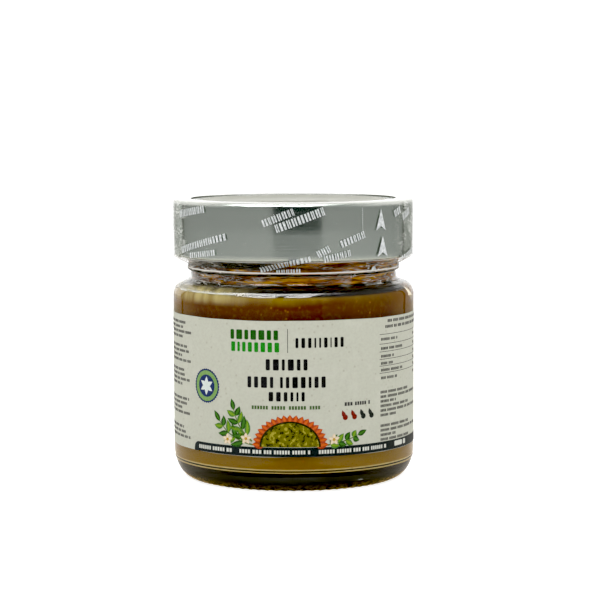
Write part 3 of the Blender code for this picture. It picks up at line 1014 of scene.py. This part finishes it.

# Painted highlights: white on the cap's edge, a glare on the left shoulder, and highlight rings round the
# bead and at the skirt's foot; and a painted shade ring under the bead.
cap_edge_highlight = level.rise(80.2, 80.7) * 0.35
cap_edge_highlight = cap_edge_highlight + level.rise(79.2, 80.2) * abs(across).rise(12.0, 30.0) * 0.5
glare = level.between(54.0, 55.6, 0.3) * across.rise(4.0, -14.0) * long_crease.rise(0.35, 0.6) * 0.7
highlight_ring = level.between(60.95, 61.35, 0.08) * 0.95 + level.between(64.25, 64.5, 0.1) * 0.35
shade_ring = level.between(60.15, 60.7, 0.1) * 0.95
veil = (veil + cap_edge_highlight + glare + highlight_ring + shade_ring).clamped()
# Painted dark lines along the neck's creases and in the shade ring, white or cream painted light
# elsewhere.
dark = (long_crease.rise(0.5, 0.48) * in_neck * 0.6 + shade_ring - highlight_ring).clamped()
tone = dark.mix(in_neck.mix(FILM_WHITE, FILM_CREAM), FILM_SHADE)
wire.feed(shader.inputs["Base Color"], tone)
height = (long_crease + fine_crease * 0.5) * (0.2 + in_neck * 0.8)
bump = wire.node("Bump", None, {"Strength": 0.6, "Distance": 0.0002, "Height": height})
wire.feed(shader.inputs["Normal"], bump)
clear = wire.node("BsdfTransparent")
film_skin = wire.node("MixShader", None, {0: veil, 1: clear, 2: Wire(wire.tree, shader.outputs[0])})
wire.feed(wire.tree.nodes["Material Output"].inputs["Surface"], film_skin)
finish(film, "seal_band", film_finish)


# Marks on the shrink band. White ink on the film: slanting rows of paired strokes, three notched darts
# up the right side, and a line of fine holes to tear it by. Rows give degrees and height of both ends,
# then how tall and how many the pairs are. Darts give degrees, both heights and width.
MARK_SHEET = 0.02
PAIR_GAP = 0.45
STROKE_SHARE = 0.38
skirt_part = film_path[film_path[:, 0].argmax():]
DASH_ROWS = [
    (-13.9, 75.1, 1.0, 78.6, 2.0, 7),
    (-7.9, 73.7, 15.0, 78.7, 2.3, 9),
    (34.9, 71.9, 21.8, 69.1, 2.0, 5),
    (16.9, 68.2, 10.6, 66.3, 2.0, 3),
    (8.0, 65.4, -18.0, 61.9, 1.5, 8),
    (27.3, 66.9, 13.6, 65.1, 1.8, 6),
    (3.8, 61.9, -9.5, 61.6, 1.0, 5),
    (38.0, 60.6, 32.2, 59.8, 1.0, 3),
    (-32.6, 71.3, -66.0, 66.6, 1.9, 10),
    (-39.1, 66.8, -57.5, 65.4, 1.6, 6),
    (-67.3, 76.9, -45.0, 78.8, 2.0, 7),
    (55.3, 77.0, 61.0, 78.3, 2.0, 2),
    (63.3, 75.9, 72.0, 77.8, 2.0, 3),
    (62.4, 64.3, 80.0, 66.2, 1.5, 4),
]
DARTS = [(45.0, 72.7, 78.7, 3.8), (46.2, 65.4, 71.1, 4.0), (48.0, 60.6, 63.2, 3.4)]
HOLES_DEG = 33.8
HOLES_LOW_Z, HOLES_TOP_Z, HOLE_COUNT = 72.6, 78.9, 12


def on_film(flat, lift=0.07):
    """Points in degrees round from the front and millimetres up, laid on the film's outer side."""
    turn = np.radians(flat[..., 0])
    radius = np.interp(flat[..., 1], skirt_part[::-1, 1], skirt_part[::-1, 0]) + lift
    return np.stack([radius * np.sin(turn), -radius * np.cos(turn), flat[..., 1]], axis=-1)


def film_patch(flat):
    """A patch in millimetres right and up, as degrees round the film and millimetres up."""
    return np.stack([np.degrees(flat[..., 0] / (LID_R + CAP_CLEAR)), flat[..., 1]], axis=-1)


marks = []
draw = np.random.default_rng(31)
for from_deg, from_z, to_deg, to_z, tall, count in DASH_ROWS:
    ends = np.array([[math.radians(from_deg) * LID_R, from_z], [math.radians(to_deg) * LID_R, to_z]])
    share = draw.uniform(0.7, 1.3, count)
    stops = np.concatenate([[0.0], np.cumsum(share / share.sum())])
    gap = PAIR_GAP / np.linalg.norm(ends[1] - ends[0])
    for start, stop in zip(stops[:-1], stops[1:] - gap):
        stroke = STROKE_SHARE * (stop - start)
        for first in (start, stop - stroke):
            line = ends[0] + (ends[1] - ends[0]) * np.linspace(first, first + stroke, 3)[:, None]
            marks.append(film_patch(strip(line, np.full(3, tall))))
for turn_deg, low, high, wide in DARTS:
    for side in (-0.5, 0.5):
        rise = np.linspace(0.0, 1.0, 9)[:, None]
        foot = np.array([side * wide, low])
        notch = np.array([0.0, low + 0.2 * (high - low)])
        tip = np.array([0.0, high])
        edges = [foot + (tip - foot) * rise, notch + (tip - notch) * rise]
        dart = np.stack(edges if side < 0.0 else edges[::-1]) + (math.radians(turn_deg) * LID_R, 0.0)
        marks.append(film_patch(dart[::-1]))
for hole_z in np.linspace(HOLES_LOW_Z, HOLES_TOP_Z, HOLE_COUNT):
    hole = bar(-0.1, 0.1, hole_z, hole_z + 0.25) + (math.radians(HOLES_DEG) * LID_R, 0.0)
    marks.append(film_patch(hole))

mark_points = np.concatenate([on_film(patch).reshape(-1, 3) for patch in marks])
mark_faces, start = [], 0
for patch in marks:
    rows, columns = patch.shape[:2]
    mark_faces.append(quads(start + np.arange(rows * columns).reshape(rows, columns)))
    start += rows * columns
film_marks = new_piece("film_marks", mark_points, np.concatenate(mark_faces).tolist())
film_marks.data.shade_flat()
thick = film_marks.modifiers.new("Ink", "SOLIDIFY")
thick.thickness = MARK_SHEET * MM
thick.offset = -1.0
THIN_WHITE = (0.52, 0.55, 0.55)
FULL_WHITE = (0.78, 0.80, 0.80)
mark_ink, wire, shader = new_material("white_film_ink", FULL_WHITE, 0.4)
place = wire.node("TexCoord", out="Object")
thin_ink = wire.node("TexNoise", None, {"Vector": place, "Scale": 1500.0, "Detail": 2.0})
wire.feed(shader.inputs["Base Color"], thin_ink.rise(0.35, 0.65).mix(THIN_WHITE, FULL_WHITE))
finish(film_marks, None, mark_ink)
